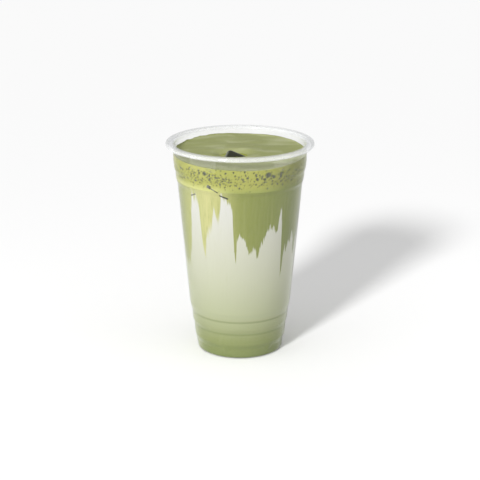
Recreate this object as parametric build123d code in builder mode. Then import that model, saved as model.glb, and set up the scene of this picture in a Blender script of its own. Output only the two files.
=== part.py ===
"""Iced matcha latte in a clear cold-drink cup.

The cup is a thin formed shell with a rolled rim, two shoulders under the rim, three near the
foot and six gussets round the foot. The drink fills it in layers: milk below, matcha above it
with streaks that run down into the milk, and froth on top. One ice cube breaks the surface.

Millimetres, +Z up. The origin is the centre of the foot, on the surface the cup stands on, and
the front faces -Y.
"""

import os
from math import cos, exp, radians, sin, tan

from build123d import *

# Cup
cup_height = 142.5
wall = 0.6
neck_radius = 44.1  # outside, just under the rim
neck_drop = 11.5  # from the top of the rim to the end of the upright neck
body_draft = 5.1  # degrees off upright, below the neck
base_rise = 2.0  # height of the raised base panel
base_ring_width = 3.6  # flat ring that the cup stands on
base_slope_width = 2.0

# Shoulders, where the wall steps inwards: drop to the upper corner, height of the step, step in
upper_shoulders = (  # the drop is measured from the top of the rim
    (16.5, 2.6, 0.8),
    (24.5, 2.6, 0.9),
)
lower_shoulders = (  # and here from the foot up to the lower corner
    (27.0, 5.6, 1.3),
    (17.7, 3.2, 0.9),
    (6.4, 3.6, 1.3),
)
shoulder_fillet = 2.0
foot_fillet = 1.4

# Rim, a flange that ends in a roll
rim_overhang = 4.9  # from the neck to the outside of the roll
rim_roll_radius = 1.5
rim_curl = 215  # degrees that the roll turns through
rim_fillet = 1.3

# Gussets, which carry the ledge over the foot: cones that narrow downwards
gusset_count = 6
gusset_start = -110.0  # degrees from +X
gusset_bottom = 1.0  # height of the lower end
gusset_top_radius = 14.0
gusset_bottom_radius = 1.0
gusset_relief = 0.15  # how far the gussets stay inside the wall above the ledge

# Drink
fit_gap = 0.05  # between the drink and what it touches
fill_drop = 7.4  # from the top of the rim to the mean level of the froth
fill_tilt = 2.1  # how much higher the froth is at the back wall, lower at the front
froth_depth = 17.0  # from the mean level to the flat underside of the froth
matcha_depth = 6.0  # of the matcha above its streaks
streak_inner_radius = 17.0  # the streaks are ribs outside this radius
streak_shoulder = 0.62  # share of a streak's length where it starts to narrow
swell_height = 0.35  # slow waves on the froth
swell_length = 31.0
hollow_centre = (-3.5, -5.0)
hollow_size = (11.5, 8.5)  # half width and half depth of the hollow round the ice
hollow_depth = 2.6
lip_height = 1.7  # raised froth round the hollow
surface_grid = 25  # rows of points that the froth's surface runs through

# Streaks of matcha round the cup: degrees from the front towards +X, width, length
streaks = (
    (-66, 15.0, 44),
    (-54, 7.0, 30),
    (-34, 12.0, 25),
    (-38, 3.4, 40),
    (-21, 4.4, 14),
    (-5, 2.6, 41),
    (6, 15.0, 27),
    (15, 12.0, 35),
    (22, 5.0, 30),
    (30, 10.0, 20),
    (37, 5.0, 18),
    (50, 6.5, 37),
    (47, 2.6, 60),
    (57, 4.0, 36),
    (70, 13.0, 26),
    (84, 9.0, 40),
    (97, 12.0, 22),
    (112, 5.0, 46),
    (124, 14.0, 30),
    (141, 8.0, 19),
    (156, 11.0, 38),
    (172, 6.0, 28),
    (184, 13.0, 21),
    (201, 7.0, 44),
    (214, 12.0, 27),
    (232, 9.0, 35),
    (249, 6.0, 20),
    (262, 12.0, 33),
    (278, 7.0, 48),
)

# Ice
ice_edge = 25.0
ice_fillet = 2.8
ice_peak = 2.2  # height of its top above the mean level of the froth
ice_place = (-5.2, -4.0)
ice_turn = (48.0, 19.0, -14.0)  # degrees about X, Y and Z

# Places worked out from the sizes above
fill_level = cup_height - fill_drop
froth_bottom = fill_level - froth_depth
matcha_bottom = froth_bottom - matcha_depth
rim_flat = cup_height - wall  # underside of the flange
rim_base = rim_flat - rim_fillet  # where the neck turns out into the flange
above_cup = cup_height + 20.0


def wall_corners():
    """Corners of the wall's outside from the foot to the rim, worked out from the top down."""
    r = neck_radius
    z = cup_height - neck_drop
    corners = [(r, rim_base), (r, z)]

    def run_down_to(lower):
        nonlocal z, r
        r -= (z - lower) * tan(radians(body_draft))
        z = lower
        corners.append((r, z))

    def step_in(height, inward):
        nonlocal z, r
        r -= inward
        z -= height
        corners.append((r, z))

    for drop, height, inward in upper_shoulders:
        run_down_to(cup_height - drop)
        step_in(height, inward)
    for lower, height, inward in lower_shoulders:
        run_down_to(lower + height)
        step_in(height, inward)
    run_down_to(0.0)
    return corners[::-1]


corners = wall_corners()
foot_radius = corners[0][0]
ledge_radius, ledge_height = corners[2]  # where the wall overhangs the foot
panel_radius = foot_radius - base_ring_width - base_slope_width


def cup_space(inset, top):
    """Half section of everything inside the cup's outside surface, less an inset all round."""
    base = [
        (0, base_rise),
        (panel_radius, base_rise),
        (foot_radius - base_ring_width, 0),
    ]
    outline = [*base, *corners]
    radii = [foot_fillet] * 3 + [shoulder_fillet] * (len(corners) - 2)
    with BuildSketch(Plane.XZ) as section:
        with BuildLine():
            FilletPolyline(*outline, radius=radii)
            Polyline(corners[-1], (neck_radius, above_cup), (0, above_cup), (0, base_rise))
        make_face()
        mirror(about=Plane.YZ)
        if inset > 0:
            offset(amount=-inset)
        with Locations((neck_radius, top / 2)):
            Rectangle(2 * neck_radius, top, mode=Mode.INTERSECT)
    return section.sketch


def gusset(inset):
    """One gusset of the foot at +X, less an inset."""
    ends = (
        (gusset_bottom + inset, foot_radius, gusset_bottom_radius),
        (ledge_height, ledge_radius - gusset_relief, gusset_top_radius),
    )
    with BuildPart() as cone:
        for z, outside, radius in ends:
            with BuildSketch(Plane.XY.offset(z)):
                with Locations((outside - radius, 0)):
                    Circle(radius - inset)
        loft()
    return cone.part


def filled(inset, top):
    """The solid that fills the cup's outside, less an inset all round, up to a height."""
    with BuildPart() as body:
        with BuildSketch(Plane.XZ):
            add(cup_space(inset, top))
        revolve(axis=Axis.Z)
        with PolarLocations(0, gusset_count, start_angle=gusset_start):
            add(gusset(inset))
    return body.part


def froth_height(x, y):
    """Height of the froth: a tilted level with slow waves, and a hollow with a raised lip."""
    across = (x - hollow_centre[0]) / hollow_size[0]
    along = (y - hollow_centre[1]) / hollow_size[1]
    away = across**2 + along**2
    tilt = fill_tilt * y / neck_radius
    swell = swell_height * sin(x / swell_length * 3 + 0.6) * cos(y / swell_length * 2.4)
    hollow = -hollow_depth * exp(-(away**2))
    lip = lip_height * away * exp(-0.75 * away)
    return fill_level + tilt + swell + hollow + lip


def surface_point(row, column):
    """One point of the froth's surface, on a grid a little wider than the cup."""
    reach = neck_radius + 2.0
    x = reach * (2 * column / (surface_grid - 1) - 1)
    y = reach * (2 * row / (surface_grid - 1) - 1)
    return (x, y, froth_height(x, y))


def ice_shape(grown):
    """The ice cube in its place, grown by a gap all round."""
    edge = ice_edge + 2 * grown
    with BuildPart() as cube:
        Box(edge, edge, edge)
        fillet(cube.edges(), radius=ice_fillet + grown)
    turned = cube.part.rotate(Axis.X, ice_turn[0])
    turned = turned.rotate(Axis.Y, ice_turn[1])
    turned = turned.rotate(Axis.Z, ice_turn[2])
    peak = turned.vertices().sort_by(Axis.Z)[-1]
    lift = fill_level + ice_peak + grown - turned.bounding_box().max.Z
    return turned.translate((ice_place[0] - peak.X, ice_place[1] - peak.Y, lift))


def streak(angle, width, length):
    """One streak of matcha: a rib that narrows to a rounded end, from the layer outwards."""
    root = matcha_bottom + matcha_depth / 2
    narrows = matcha_bottom - length * streak_shoulder
    tip = matcha_bottom - length
    turn = angle - 90
    outward = Plane(
        origin=(0, 0, 0),
        x_dir=(-sin(radians(turn)), cos(radians(turn)), 0),
        z_dir=(cos(radians(turn)), sin(radians(turn)), 0),
    )
    half = width / 2
    with BuildPart() as rib:
        with BuildSketch(outward.offset(streak_inner_radius)):
            with BuildLine():
                Polyline((-half * 0.8, narrows), (-half, root), (half, root), (half * 0.8, narrows))
                Spline(
                    (half * 0.8, narrows),
                    (0, tip),
                    (-half * 0.8, narrows),
                    tangents=[(0, -1), (0, 1)],
                )
            make_face()
        extrude(amount=neck_radius - streak_inner_radius)
    return rib.part


# The surface of the froth, and the ice's hole in the drink
froth_surface = Face.make_surface_from_array_of_points(
    [[surface_point(row, column) for column in range(surface_grid)] for row in range(surface_grid)]
)
air = Solid.extrude(froth_surface, Vector(0, 0, above_cup))
ice_hole = ice_shape(fit_gap)
drink = filled(wall + fit_gap, rim_flat)

# Cup: the shell and its rim
roll_centre = (neck_radius + rim_overhang - rim_roll_radius, cup_height - rim_roll_radius)

with BuildPart() as cup:
    add(filled(0, rim_base))
    add(filled(wall, above_cup - wall), mode=Mode.SUBTRACT)
    with BuildSketch(Plane.XZ):
        with BuildLine():
            under = FilletPolyline(
                (neck_radius, rim_base - wall),
                (neck_radius, rim_flat),
                (roll_centre[0], rim_flat),
                radius=rim_fillet,
            )
            over = FilletPolyline(
                (neck_radius - wall, rim_base - wall),
                (neck_radius - wall, cup_height),
                (roll_centre[0], cup_height),
                radius=rim_fillet + wall,
            )
            roll_inside = CenterArc(roll_centre, rim_roll_radius - wall, 90, -rim_curl)
            roll_outside = CenterArc(roll_centre, rim_roll_radius, 90, -rim_curl)
            Line(under @ 0, over @ 0)
            Line(roll_inside @ 1, roll_outside @ 1)
        make_face()
    revolve(axis=Axis.Z)
cup.part.label = "cup"

# Milk, from the base up to the matcha, between the streaks
with BuildPart() as matcha_layer:
    add(drink)
    with BuildSketch(Plane.XY.offset(matcha_bottom)):
        Rectangle(3 * neck_radius, 3 * neck_radius)
    extrude(amount=matcha_depth, mode=Mode.INTERSECT)
    for angle, width, length in streaks:
        add(streak(angle, width, length))
    add(drink, mode=Mode.INTERSECT)
    add(ice_hole, mode=Mode.SUBTRACT)
    split(bisect_by=Plane.XY.offset(froth_bottom), keep=Keep.BOTTOM)
matcha_layer.part.label = "matcha_layer"

with BuildPart() as milk_layer:
    add(drink)
    split(bisect_by=Plane.XY.offset(froth_bottom), keep=Keep.BOTTOM)
    add(matcha_layer.part, mode=Mode.SUBTRACT)
    add(ice_hole, mode=Mode.SUBTRACT)
milk_layer.part.label = "milk_layer"

# Froth, from the matcha to the uneven surface
with BuildPart() as froth:
    add(drink)
    split(bisect_by=Plane.XY.offset(froth_bottom), keep=Keep.TOP)
    add(air, mode=Mode.SUBTRACT)
    add(ice_hole, mode=Mode.SUBTRACT)
froth.part.label = "froth"

# Ice cube
with BuildPart() as ice_cube:
    add(ice_shape(0))
ice_cube.part.label = "ice_cube"

os.makedirs("parts", exist_ok=True)
export_step(cup.part, "parts/cup.step")
export_step(milk_layer.part, "parts/milk_layer.step")
export_step(matcha_layer.part, "parts/matcha_layer.step")
export_step(froth.part, "parts/froth.step")
export_step(ice_cube.part, "parts/ice_cube.step")
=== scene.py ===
"""Looks of an iced matcha latte in a clear cold-drink cup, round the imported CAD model.

The cup and the ice cube are the CAD's own. The milk and the matcha become one body with
streaks that reach just into the cup's wall, and the froth a head with bubbles and a hollow.
"""

import math

import bmesh
import bpy
import numpy as np
from mathutils import Matrix, Vector
from mathutils.bvhtree import BVHTree


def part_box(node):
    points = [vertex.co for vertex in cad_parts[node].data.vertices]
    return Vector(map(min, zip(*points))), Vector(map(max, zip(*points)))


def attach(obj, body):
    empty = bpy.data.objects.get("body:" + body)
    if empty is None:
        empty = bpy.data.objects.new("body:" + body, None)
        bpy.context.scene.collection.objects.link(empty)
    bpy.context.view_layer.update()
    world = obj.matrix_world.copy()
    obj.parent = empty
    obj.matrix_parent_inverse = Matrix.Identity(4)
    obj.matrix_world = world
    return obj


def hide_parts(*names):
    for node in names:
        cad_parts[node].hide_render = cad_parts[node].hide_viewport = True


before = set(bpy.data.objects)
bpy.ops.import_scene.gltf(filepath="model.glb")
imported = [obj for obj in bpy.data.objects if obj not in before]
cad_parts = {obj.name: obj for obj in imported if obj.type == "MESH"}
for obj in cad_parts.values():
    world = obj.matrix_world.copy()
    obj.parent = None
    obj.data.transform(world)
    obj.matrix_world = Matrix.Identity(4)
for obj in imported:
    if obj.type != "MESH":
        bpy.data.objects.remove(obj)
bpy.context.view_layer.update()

MM = 0.001
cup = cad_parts["cup"]
ice_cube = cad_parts["ice_cube"]
cup_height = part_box("cup")[1][2]
rim_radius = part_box("cup")[1][0]
froth_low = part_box("froth")[0][2]

# Drink
into_wall = 0.3 * MM  # how far the drink reaches into the cup's wall
froth_below_rim = 7.4 * MM
fill_level = cup_height - froth_below_rim
fill_tilt = 2.1 * MM  # how much higher the froth stands at the back of the neck than at its middle
tilt_radius = 44.1 * MM
hollow_centre = (-3.5 * MM, -5.0 * MM)
hollow_size = (11.5 * MM, 8.5 * MM)
hollow_depth = 2.6 * MM
lip_height = 1.7 * MM
swell_height = 0.35 * MM
swell_length = 31.0 * MM
base_panel = 2.3 * MM  # underside of the drink over the cup's raised base
pool_drop = 1.25 * MM  # how far the clear pool in the hollow lies under the froth's level
pool_reach = 1.6
bubble_dent = 0.55 * MM
ice_stands_out = 0.22 * MM  # how far the edges of sunk ice pass the drink's side
ice_edge_depth = 5.0 * MM

# Colours are multiplied by these, to come out right under the studio's light
drink_white = (0.57, 0.57, 0.58, 1.0)
froth_white = (0.8, 0.8, 0.8, 1.0)


# ---------------------------------------------------------------- shader values and graphs
class Value:
    """A number socket of a material; Python's operators add Math nodes to it."""

    def __init__(self, graph, socket):
        self.graph, self.socket = graph, socket

    def math(self, operation, *others):
        inputs = dict(enumerate((self, *others)))
        return self.graph.node("ShaderNodeMath", {"operation": operation}, inputs)

    def __add__(self, other):
        return self.math("ADD", other)

    def __mul__(self, other):
        return self.math("MULTIPLY", other)

    def __sub__(self, other):
        return self.math("SUBTRACT", other)

    def __rsub__(self, other):
        return (self * -1.0) + other

    def __truediv__(self, other):
        return self.math("DIVIDE", other)

    def __pow__(self, other):
        return self.math("POWER", other)

    __radd__ = __add__
    __rmul__ = __mul__

    def rise(self, low, high):
        """0 below low, 1 above high, and smooth between; low and high may be sockets."""
        inputs = {"Value": self, "From Min": low, "From Max": high}
        return self.graph.node("ShaderNodeMapRange", {"interpolation_type": "SMOOTHSTEP"}, inputs)


class Graph:
    """A new material's nodes."""

    def __init__(self, name):
        self.material = bpy.data.materials.new(name)
        self.material.use_nodes = True
        self.tree = self.material.node_tree
        self.tree.nodes.clear()

    def node(self, kind, settings=None, inputs=None, output=0):
        """Adds a node: its settings first, then the values or links of its sockets."""
        made = self.tree.nodes.new(kind)
        for key, setting in (settings or {}).items():
            if key == "stops":
                ramp = made.color_ramp.elements
                while len(ramp) < len(setting):
                    ramp.new(0.5)
                for stop, (place, shade) in zip(ramp, setting):
                    stop.position = place
                    stop.color = shade
            elif key == "points":
                curve = made.mapping.curves[0]
                for place, height in setting[1:-1]:
                    curve.points.new(place, height)
                for point, (place, height) in zip(curve.points, setting):
                    point.location = (place, height)
                    point.handle_type = "VECTOR"
                made.mapping.update()
            else:
                setattr(made, key, setting)
        for key, given in (inputs or {}).items():
            if isinstance(given, Value):
                self.tree.links.new(given.socket, made.inputs[key])
            else:
                made.inputs[key].default_value = given
        return Value(self, made.outputs[output])

    def mix(self, factor, first, second, blend="MIX"):
        """A colour between two others."""
        settings = {"data_type": "RGBA", "blend_type": blend}
        return self.node("ShaderNodeMix", settings, {0: factor, 6: first, 7: second}, 2)

    def ramp(self, place, stops):
        """A colour that changes with a number, by places and 0 to 255 colours."""
        settings = {"stops": [(stop, colour(*shade)) for stop, shade in stops]}
        return self.node("ShaderNodeValToRGB", settings, {0: place})

    def noise(self, vector, scale, detail=2.0, roughness=0.5):
        """Cloudy values of about 0.3 to 0.7."""
        inputs = {"Vector": vector, "Scale": scale, "Detail": detail, "Roughness": roughness}
        return self.node("ShaderNodeTexNoise", None, inputs)

    def place(self):
        """The piece's own coordinates: the vector, and its x, y and z in metres."""
        vector = self.node("ShaderNodeTexCoord", None, None, "Object")
        parts = [self.node("ShaderNodeSeparateXYZ", None, {0: vector}, i) for i in range(3)]
        return vector, *parts

    def vector(self, x, y, z):
        """A vector from three numbers."""
        return self.node("ShaderNodeCombineXYZ", None, {0: x, 1: y, 2: z})

    def attribute(self, name):
        """The number that a piece keeps at its points under this name."""
        return self.node("ShaderNodeAttribute", {"attribute_name": name}, None, "Fac")

    def bump(self, height, strength, distance):
        """A normal for a fine unevenness."""
        inputs = {"Height": height, "Strength": strength, "Distance": distance}
        return self.node("ShaderNodeBump", None, inputs)

    def finish(self, shader):
        """The material, with this shader on its surface."""
        made = self.tree.nodes.new("ShaderNodeOutputMaterial")
        self.tree.links.new(shader.socket, made.inputs["Surface"])
        return self.material


def colour(red, green, blue):
    """A colour socket's value from the usual 0 to 255 numbers."""
    linear = [((c / 255 + 0.055) / 1.055) ** 2.4 if c > 10 else c / 3294 for c in (red, green, blue)]
    return (*linear, 1.0)


# ---------------------------------------------------------------- meshes
def add_object(name, contents):
    """A new object in the scene, for a mesh, a light or a camera."""
    added = bpy.data.objects.new(name, contents)
    bpy.context.scene.collection.objects.link(added)
    return added


def add_mesh(mesh, material, smooth=True):
    """A mesh's object, with its one material and its shading."""
    mesh.materials.append(material)
    mesh.polygons.foreach_set("use_smooth", [smooth] * len(mesh.polygons))
    return add_object(mesh.name, mesh)


def add_piece(name, points, faces, material, smooth=True):
    """An object made of points and faces."""
    mesh = bpy.data.meshes.new(name)
    mesh.from_pydata(points, [], faces)
    mesh.update()
    return add_mesh(mesh, material, smooth)


def ring_faces(first, second, count):
    """Quads between two rings of points, facing away from the axis when second is higher."""
    return [
        (first + i, first + (i + 1) % count, second + (i + 1) % count, second + i)
        for i in range(count)
    ]


def cap_faces(ring, centre, count, up):
    """Triangles from a ring to its centre point."""
    fan = [(ring + i, ring + (i + 1) % count, centre) for i in range(count)]
    return fan if up else [face[::-1] for face in fan]


def set_attribute(piece, name, values):
    """A number at each point of a piece, for its material."""
    layer = piece.data.attributes.new(name, "FLOAT", "POINT")
    layer.data.foreach_set("value", np.asarray(values, dtype=np.float32))


cup_tree = BVHTree.FromObject(cup, bpy.context.evaluated_depsgraph_get())


def wall_radius(angle, height):
    """Distance from the axis to the cup's inner wall; angle is from the front towards +X."""
    way = Vector((math.sin(angle), -math.cos(angle), 0.0))
    hit = cup_tree.ray_cast(Vector((0.0, 0.0, height)), way)
    return hit[3]


def on_wall(angle, height, deeper=0.0):
    """A point of the drink's side."""
    radius = wall_radius(angle, height) + into_wall - deeper
    return (radius * math.sin(angle), -radius * math.cos(angle), height)


def from_hollow(x, y):
    """Squared distance from the hollow's centre, 1 on its outline."""
    across = (x - hollow_centre[0]) / hollow_size[0]
    along = (y - hollow_centre[1]) / hollow_size[1]
    return across**2 + along**2


def froth_height(x, y):
    """Height of the froth: a tilted level with slow waves, and a hollow with a raised lip."""
    away = from_hollow(x, y)
    swell = swell_height * np.sin(x / swell_length * 3 + 0.6) * np.cos(y / swell_length * 2.4)
    hollow = -hollow_depth * np.exp(-(away**2))
    lip = lip_height * away * np.exp(-0.75 * away)
    return fill_level + fill_tilt * y / tilt_radius + swell + hollow + lip


# ---------------------------------------------------------------- materials
def clear_plastic():
    """Thin clear plastic: it lets sight through, darkens a little edge on, and shines, with a
    painted white reflection on the rim's roll.
    """
    g = Graph("clear_plastic")
    edge = g.node("ShaderNodeLayerWeight", None, {"Blend": 0.5}, "Facing")
    clear = g.node("ShaderNodeBsdfTransparent", None, {"Color": (1.0, 1.0, 1.0, 1.0)})
    grey = g.node("ShaderNodeBsdfTransparent", None, {"Color": (0.86, 0.87, 0.88, 1.0)})
    film = g.node("ShaderNodeMixShader", None, {0: edge**3.0, 1: clear, 2: grey})
    shine = g.node("ShaderNodeBsdfGlossy", None, {"Color": (1.0, 1.0, 1.0, 1.0), "Roughness": 0.04})
    shining = 0.045 + 0.8 * edge**5.0
    both = g.node("ShaderNodeMixShader", None, {0: shining, 1: film, 2: shine})
    # The roll of the rim is thick, so it refracts and reflects the white room: a painted white, in
    # streaks, stands in for that reflection
    vector, x, y, z = g.place()
    roll = z.rise(cup_height - 4.2 * MM, cup_height - 2.6 * MM)
    across = (x * x + y * y) ** 0.5
    roll = roll * across.rise(rim_radius - 5.4 * MM, rim_radius - 4.2 * MM)
    streaks = g.noise(vector, 60.0, 1.0)
    inputs = {"Base Color": colour(250, 251, 252), "Roughness": 0.12, "Coat Weight": 0.6}
    white = g.node("ShaderNodeBsdfPrincipled", None, inputs)
    painted_rim_white = roll * (0.16 + 0.2 * streaks)
    return g.finish(g.node("ShaderNodeMixShader", None, {0: painted_rim_white, 1: both, 2: white}))


def turn_of(g, x, y):
    """How far round the cup a point is, from 0 at the back through 0.5 at the front to 1."""
    return x.math("ARCTAN2", y * -1.0) / (2 * math.pi) + 0.5


# How far down the matcha reaches round the cup: degrees from the front, height in mm
matcha_edge = (
    (-180, 88), (-172, 96), (-166, 74), (-158, 90), (-150, 84), (-144, 101), (-139, 92),
    (-133, 71), (-126, 86), (-119, 98), (-112, 90), (-106, 66), (-98, 82), (-91, 96),
    (-84, 88), (-77, 70), (-70, 62), (-63, 66), (-56, 80), (-53, 96), (-50, 113.5),
    (-41.5, 114), (-39.5, 84), (-38, 73), (-36, 74), (-34.5, 88), (-29, 93), (-26, 99),
    (-24, 106), (-22.5, 100), (-21, 97.5), (-18.5, 104), (-17, 115.5), (-13, 111), (-9, 107),
    (-6.5, 103), (-5.4, 71), (-4.2, 72), (-3.4, 88), (0, 91), (4, 86), (7.5, 80), (9, 76),
    (11.6, 77), (12.4, 86), (13.4, 79), (17, 77), (21, 80), (23, 87), (26, 92), (31, 91.5),
    (34, 95), (38, 92), (39.6, 100), (41.4, 105.5), (43.4, 98), (45, 74), (46.2, 55),
    (47.4, 62), (49, 75), (54, 76), (56.5, 81), (58.5, 76), (60.8, 89), (63.5, 82), (69, 70),
    (76, 84), (83, 96), (90, 88), (95, 64), (102, 80), (110, 93), (117, 86), (124, 72),
    (131, 90), (138, 98), (146, 84), (152, 66), (158, 82), (166, 94), (173, 80), (180, 88),
)


edge_scale = 150 * MM  # the height that is 1 on the curve of the edge and on the milk's colours

# The milk's colours up the cup, as parts of that height
milk_by_height = (
    (0.0, (138, 152, 84)), (0.08, (158, 168, 102)), (0.135, (176, 184, 130)),
    (0.2, (198, 204, 160)), (0.38, (220, 223, 192)), (0.55, (232, 233, 212)),
    (0.72, (243, 243, 233)),
)

# The matcha's colours round the cup, from 0 at the back through 0.5 at the front
matcha_by_turn = (
    (0.0, (158, 168, 86)), (0.3, (170, 178, 92)), (0.36, (214, 216, 142)),
    (0.42, (232, 229, 156)), (0.455, (214, 214, 136)), (0.5, (176, 183, 92)),
    (0.56, (166, 175, 88)), (0.63, (160, 170, 88)), (0.78, (152, 162, 80)),
)


def drink_colour(g, x, y, z):
    """Colour of the milk and matcha at the wall."""
    turn = turn_of(g, x, y)
    points = [(angle / 360 + 0.5, height * MM / edge_scale) for angle, height in matcha_edge]
    edge = g.node("ShaderNodeFloatCurve", {"points": points}, {"Value": turn}) * edge_scale
    # Streaks run down the wall, so their noise is fine round the cup and long down it
    radius = (x * x + y * y) ** 0.5
    around = g.vector(x / radius, y / radius, z * 6.0)
    upright = g.vector(x / radius, y / radius, z * 1.2)
    teeth = g.noise(upright, 34.0, 3.0, 0.6) - 0.5
    drips = g.noise(upright, 9.0, 2.0) - 0.5
    wisps = g.noise(around, 26.0, 3.0, 0.65)
    left = 1.0 - turn.rise(0.42, 0.5)
    depth = z - edge - teeth * (22.0 * MM) - drips * (12.0 * MM)
    soft = 0.8 * MM + left * (3.2 * MM)
    covered = depth.rise(soft * -1.0, soft)
    # Milk: white under the matcha, greener towards the foot, and green again at the left
    milk = g.ramp(z / edge_scale, milk_by_height)
    tint = g.mix((1.0 - turn.rise(0.29, 0.36)) * 0.5, milk, colour(206, 214, 150))
    milk = g.mix(wisps.rise(0.55, 0.8) * 0.28, tint, colour(205, 211, 158))
    matcha = g.ramp(turn, matcha_by_turn)
    streaks = g.noise(upright, 22.0, 4.0, 0.7)
    matcha = g.mix(streaks.rise(0.35, 0.75) * 0.55, matcha, colour(190, 196, 118))
    matcha = g.mix((1.0 - wisps).rise(0.45, 0.8) * 0.35, matcha, colour(140, 152, 64))
    matcha = g.mix(turn.rise(0.44, 0.5) * 0.28, matcha, colour(96, 112, 40))
    painted = g.mix(covered, milk, matcha)
    # Painted shade: a darker green line along the lower edge of each of the cup's low ledges, where
    # the wall faces down
    for ledge in (27.0, 17.8, 8.4):
        ledge_shade = 1.0 - (z - ledge * MM).math("ABSOLUTE").rise(0.2 * MM, 1.1 * MM)
        painted = g.mix(ledge_shade * 0.55, painted, colour(142, 156, 90))
    return painted


def latte():
    """Milk and matcha, seen through the cup."""
    g = Graph("latte")
    _, x, y, z = g.place()
    painted = drink_colour(g, x, y, z)
    painted = g.mix(1.0, painted, drink_white, "MULTIPLY")
    inputs = {"Base Color": painted, "Roughness": 0.35, "Specular IOR Level": 0.15}
    return g.finish(g.node("ShaderNodeBsdfPrincipled", None, inputs))


def froth():
    """Green froth: pale on top, yellow-green at the wall, with painted shade in its bubbles and a
    clear pool.
    """
    g = Graph("froth")
    vector, x, y, z = g.place()
    side = g.attribute("side")
    bubble = g.attribute("bubble")
    pool = g.attribute("pool")
    cloud = g.noise(vector, 45.0, 3.0)
    swirl = g.noise(g.vector(x * 0.35 + cloud * 0.012, y + cloud * 0.02, 0.0), 85.0, 2.0)
    top = g.mix(swirl.rise(0.42, 0.7), colour(158, 164, 104), colour(186, 190, 142))
    top = g.mix(cloud.rise(0.5, 0.72) * 0.35, top, colour(148, 157, 84))
    specks = g.node("ShaderNodeTexVoronoi", None, {"Vector": vector, "Scale": 900.0}, "Distance")
    fine = g.noise(vector, 900.0, 2.0, 0.7)
    top = g.mix(fine.rise(0.5, 0.8) * 0.3, top, colour(200, 203, 160))
    top = g.mix((1.0 - specks.rise(0.08, 0.2)) * 0.22, top, colour(110, 120, 60))
    wall = g.mix(cloud.rise(0.4, 0.7) * 0.6, colour(186, 187, 92), colour(168, 173, 78))
    wall = g.mix((1.0 - specks.rise(0.1, 0.24)) * 0.4, wall, colour(120, 128, 48))
    low = 1.0 - z.rise(froth_low, froth_low + 5.0 * MM)
    turn = turn_of(g, x, y)
    lower = g.mix(turn.rise(0.42, 0.5), colour(214, 216, 136), colour(168, 176, 90))
    wall = g.mix(low, wall, lower)
    wall = g.mix(1.0, wall, (0.84, 0.84, 0.8, 1.0), "MULTIPLY")
    # Painted shade: the froth's side darker towards the right, away from the key light
    wall = g.mix(turn.rise(0.54, 0.64) * 0.5, wall, colour(84, 96, 34))
    # Painted shade: dark inside the bubbles pressed against the wall
    wall = g.mix(bubble, wall, colour(60, 66, 32))
    painted = g.mix(side, top, wall)
    painted = g.mix(pool, painted, colour(150, 158, 24))
    painted = g.mix(1.0, painted, froth_white, "MULTIPLY")
    rough = 0.62 - pool * 0.5
    normal = g.bump(fine + specks * 0.6, 0.35 - pool * 0.33, 0.25 * MM)
    inputs = {"Base Color": painted, "Roughness": rough, "Normal": normal, "Specular IOR Level": 0.3}
    return g.finish(g.node("ShaderNodeBsdfPrincipled", None, inputs))


def wet_ice():
    """Wet ice in the drink: dark and glossy, with a painted highlight of cloudy grey on the sides to
    the left, which face the key light.
    """
    g = Graph("wet_ice")
    vector = g.place()[0]
    cloud = g.noise(vector, 210.0, 3.0)
    facing = g.node("ShaderNodeNewGeometry", None, None, "Normal")
    # Painted highlight: the sides facing left, towards the key light, turn a cloudy grey
    facing_light = g.node("ShaderNodeSeparateXYZ", None, {0: facing}, 0) * -1.0
    pale = (facing_light + cloud * 0.5).rise(0.45, 1.05)
    painted = g.mix(pale, colour(34, 37, 22), colour(112, 114, 100))
    inputs = {
        "Base Color": painted,
        "Roughness": 0.08 + cloud * 0.12,
        "IOR": 1.31,
        "Coat Weight": 0.5,
        "Normal": g.bump(cloud, 0.25, 0.4 * MM),
    }
    return g.finish(g.node("ShaderNodeBsdfPrincipled", None, inputs))


def plain_floor():
    """A matt, nearly white floor."""
    g = Graph("pale_floor")
    grain = g.noise(g.place()[0], 8.0)
    painted = g.mix(grain * 0.02, (0.97, 0.97, 0.97, 1.0), (0.95, 0.95, 0.95, 1.0))
    inputs = {"Base Color": painted, "Roughness": 0.9, "Specular IOR Level": 0.0}
    return g.finish(g.node("ShaderNodeBsdfPrincipled", None, inputs))


# ---------------------------------------------------------------- pieces
def latte_body(material):
    """Milk and matcha: from the cup's floor up to the froth, out into the wall."""
    count, rows = 360, 170
    angles = np.arange(count) * (2 * math.pi / count)
    low = base_panel + 0.5 * MM
    points, faces = [], []
    foot = [wall_radius(angle, low) + into_wall for angle in angles]
    # The rounded foot ring under the drink: height and how far in from the wall, in mm
    bottom = ((base_panel / MM, 5.4), (0.4, 3.4), (0.35, 1.5), (0.75, 0.5), (1.5, 0.1))
    for height, inward in bottom:
        for radius, angle in zip(foot, angles):
            reach = radius - inward * MM
            points.append((reach * math.sin(angle), -reach * math.cos(angle), height * MM))
    for height in np.linspace(low, froth_low, rows):
        points += [on_wall(angle, height) for angle in angles]
    rings = len(bottom) + rows
    for ring in range(rings - 1):
        faces += ring_faces(ring * count, (ring + 1) * count, count)
    points += [(0.0, 0.0, base_panel), (0.0, 0.0, froth_low)]
    faces += cap_faces(0, len(points) - 2, count, up=False)
    faces += cap_faces((rings - 1) * count, len(points) - 1, count, up=True)
    return add_piece("latte_body", points, faces, material)


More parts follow.
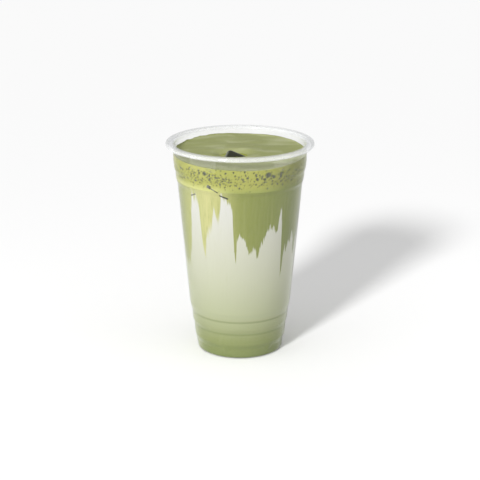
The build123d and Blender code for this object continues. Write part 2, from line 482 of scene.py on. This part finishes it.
# Bubbles against the wall: degrees from the front, height in mm, width, tallness in mm
large_bubbles = (
    (24.6, 129.6, 4.4, 3.6), (29.9, 127.9, 2.5, 2.3), (37.0, 128.6, 2.1, 4.6),
    (6.5, 128.4, 1.7, 1.6), (14.7, 127.4, 2.1, 1.8), (13.7, 130.4, 1.5, 1.3),
    (11.7, 131.6, 1.2, 1.1), (21.6, 126.7, 1.8, 1.6), (-36.6, 129.8, 1.6, 1.8),
    (-31.4, 129.9, 3.0, 3.0), (-26.7, 128.8, 1.4, 1.6), (-20.9, 128.1, 1.7, 1.6),
    (-62.0, 129.5, 1.8, 2.6), (118.0, 131.0, 3.6, 3.2), (126.0, 128.4, 2.2, 2.0),
    (-118.0, 131.5, 2.6, 2.4), (176.0, 130.0, 3.2, 2.8), (-158.0, 128.0, 2.0, 2.2),
)


small_bubbles = 1100


def bubble_depth(angles, heights, radius):
    """How deep the bubbles press into the froth's side, from 0 to 1."""
    draw = np.random.default_rng(7)
    bubbles = list(large_bubbles)
    for _ in range(small_bubbles):
        size = 0.55 + 0.9 * draw.random() ** 3
        bubbles.append((draw.uniform(-180, 180), draw.normal(126.5, 3.2), size, size))
    depth = np.zeros(np.broadcast(angles, heights).shape)
    for angle, height, wide, tall in bubbles:
        turn = (angles - math.radians(angle) + math.pi) % (2 * math.pi) - math.pi
        across = turn * radius / (wide * MM / 2)
        upward = (heights - height * MM) / (tall * MM / 2)
        depth = np.maximum(depth, np.clip(1.35 - across**2 - upward**2, 0.0, 1.0))
    return depth


def ragged(angles):
    """Uneven climb of the froth up the wall, rough at the left of the back."""
    torn = np.exp(-(((angles - math.radians(-128)) / 0.5) ** 2))
    fine = sum(np.sin(angles * n + n * n) / n for n in (23, 41, 67, 97)) * 8
    slow = np.sin(angles * 5 + 1.0) + 0.6 * np.sin(angles * 9 + 2.0)
    return 0.12 * MM * slow + (0.1 + 0.55 * torn) * MM * fine


def froth_head(material):
    """Froth: its uneven top with the hollow round the ice, and its side with bubbles."""
    count, rings, rows = 720, 84, 40
    angles = np.arange(count) * (2 * math.pi / count) - math.pi
    wall = np.array([wall_radius(angle, fill_level) for angle in angles]) + into_wall
    share = np.linspace(0.012, 1.0, rings)[:, None]
    x = share * wall * np.sin(angles)
    y = -share * wall * np.cos(angles)
    climb = np.clip((share - 0.965) / 0.035, 0, 1) ** 2
    swirl = 0.16 * MM * np.sin(y / (2.1 * MM) + 2.2 * np.sin(x / (17 * MM)) + 1.0)
    swirl *= np.clip(1.2 - share, 0, 1) * (share > 0.3)
    z = froth_height(x, y) + swirl + climb * (ragged(angles) + 0.5 * MM)
    in_reach = from_hollow(x, y) < pool_reach
    pool_level = fill_level - pool_drop
    pool = np.clip((pool_level + 0.2 * MM - z) / (0.35 * MM), 0, 1) * in_reach
    z = np.where(in_reach & (z < pool_level), pool_level, z)
    points = list(zip(x.ravel(), y.ravel(), z.ravel()))
    faces = []
    for ring in range(rings - 1):
        faces += [f[::-1] for f in ring_faces(ring * count, (ring + 1) * count, count)]
    centre = len(points)
    points.append((0.0, 0.0, float(froth_height(0.0, 0.0))))
    faces += cap_faces(0, centre, count, up=True)
    side = [0.0] * len(points)
    # How deep each point lies in a bubble; the froth's material paints shade there
    bubble = [0.0] * len(points)
    above = (rings - 1) * count
    edge_heights = z[-1]
    for row in range(1, rows + 1):
        heights = edge_heights + (froth_low - edge_heights) * row / rows
        depth = bubble_depth(angles, heights, wall)
        first = len(points)
        points += [on_wall(a, h, bubble_dent * d) for a, h, d in zip(angles, heights, depth)]
        side += [1.0] * count
        bubble += list(depth)
        faces += ring_faces(first, above, count)
        above = first
    points.append((0.0, 0.0, froth_low))
    side.append(1.0)
    bubble.append(0.0)
    faces += cap_faces(above, len(points) - 1, count, up=False)
    piece = add_piece("froth_head", points, faces, material)
    set_attribute(piece, "side", side)
    set_attribute(piece, "bubble", bubble)
    set_attribute(piece, "pool", list(pool.ravel()) + [0.0] * (len(points) - pool.size))
    return piece


# Edges of sunk ice that touch the wall: from and to, each degrees from the front and height in
# mm, and the thickness in mm
ice_edges = (
    ((-30.0, 121.8), (-26.0, 120.7), 2.6),
    ((-26.5, 120.4), (-19.5, 117.9), 0.9),
    ((-50.5, 112.6), (-44.0, 114.6), 1.0),
    ((-19.0, 116.2), (-10.5, 114.0), 1.2),
)


def sunk_ice(material):
    """The edges of ice cubes that show where they touch the wall."""
    shape = bmesh.new()
    for start, end, thick in ice_edges:
        first = Vector(on_wall(math.radians(start[0]), start[1] * MM))
        last = Vector(on_wall(math.radians(end[0]), end[1] * MM))
        along = last - first
        middle = (first + last) / 2
        outward = Vector((middle.x, middle.y, 0)).normalized()
        across = along.normalized().cross(outward).normalized()
        outward = across.cross(along.normalized())
        turn = Matrix((along.normalized(), across, outward)).transposed().to_4x4()
        place = Matrix.Translation(middle - outward * (ice_edge_depth / 2 - ice_stands_out)) @ turn
        place = place @ Matrix.Diagonal((along.length, thick * MM, ice_edge_depth, 1.0))
        made = bmesh.ops.create_cube(shape, size=1.0, matrix=place)
        edges = list({edge for point in made["verts"] for edge in point.link_edges})
        rounding = min(0.42 * thick, 0.55) * MM
        bmesh.ops.bevel(
            shape, geom=edges, offset=rounding, segments=4, profile=0.5, affect="EDGES"
        )
    bmesh.ops.recalc_face_normals(shape, faces=shape.faces)
    mesh = bpy.data.meshes.new("sunk_ice")
    shape.to_mesh(mesh)
    shape.free()
    return add_mesh(mesh, material)


# ---------------------------------------------------------------- studio
def look_at(item, target):
    """Turns a light or camera towards a point."""
    aim = Vector(target) - item.location
    item.rotation_euler = aim.to_track_quat("-Z", "Y").to_euler()


def lay_floor():
    """Plain pale floor."""
    half = 4.0
    corners = [(-half, -half, 0), (half, -half, 0), (half, half, 0), (-half, half, 0)]
    add_piece("floor", corners, [(0, 1, 2, 3)], plain_floor(), smooth=False)


def light_room():
    """An even white room, a soft key light from the front left, and a white card each side."""
    scene = bpy.context.scene
    world = bpy.data.worlds.new("studio")
    world.use_nodes = True
    background = world.node_tree.nodes["Background"]
    background.inputs["Color"].default_value = (1.0, 1.0, 1.0, 1.0)
    background.inputs["Strength"].default_value = 0.58
    scene.world = world
    sun = bpy.data.lights.new("key", "SUN")
    sun.energy = 2.9
    sun.angle = math.radians(9)
    key = add_object("key", sun)
    key.rotation_euler = Vector((0.422, 0.794, -0.438)).to_track_quat("-Z", "Y").to_euler()
    cards = (  # azimuth from the front, distance, width, height, middle height, power
        (-66, 0.36, 0.36, 0.22, 0.14, 0.2),
        (78, 0.40, 0.34, 0.26, 0.16, 0.2),
    )
    for number, (azimuth, distance, width, height, middle, power) in enumerate(cards):
        light = bpy.data.lights.new(f"card_{number}", "AREA")
        light.shape = "RECTANGLE"
        light.size = width
        light.size_y = height
        light.energy = power
        card = add_object(f"card_{number}", light)
        turn = math.radians(azimuth)
        card.location = (distance * math.sin(turn), -distance * math.cos(turn), middle)
        look_at(card, (0.0, 0.0, 0.11))
        card.visible_camera = False


def set_camera():
    """The camera, in front of the cup and a little above it."""
    lens = bpy.data.cameras.new("camera")
    lens.lens = 100.9
    lens.sensor_width = 36.0
    lens.clip_start = 0.01
    camera = add_object("camera", lens)
    camera.location = (0.0, -0.860, 0.3463)
    look_at(camera, (0.0, 0.0, 0.0742))
    bpy.context.scene.camera = camera


ice_look = wet_ice()
cup.data.materials.clear()
cup.data.materials.append(clear_plastic())
ice_cube.data.materials.clear()
ice_cube.data.materials.append(ice_look)

body = latte_body(latte())
head = froth_head(froth())
edges = sunk_ice(ice_look)
for piece, slot in ((body, "milk"), (head, "froth"), (edges, "ice")):
    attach(piece, "root")
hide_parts("milk_layer", "matcha_layer")
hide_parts("froth")

lay_floor()
light_room()
set_camera()
bpy.context.scene.view_settings.view_transform = "Standard"
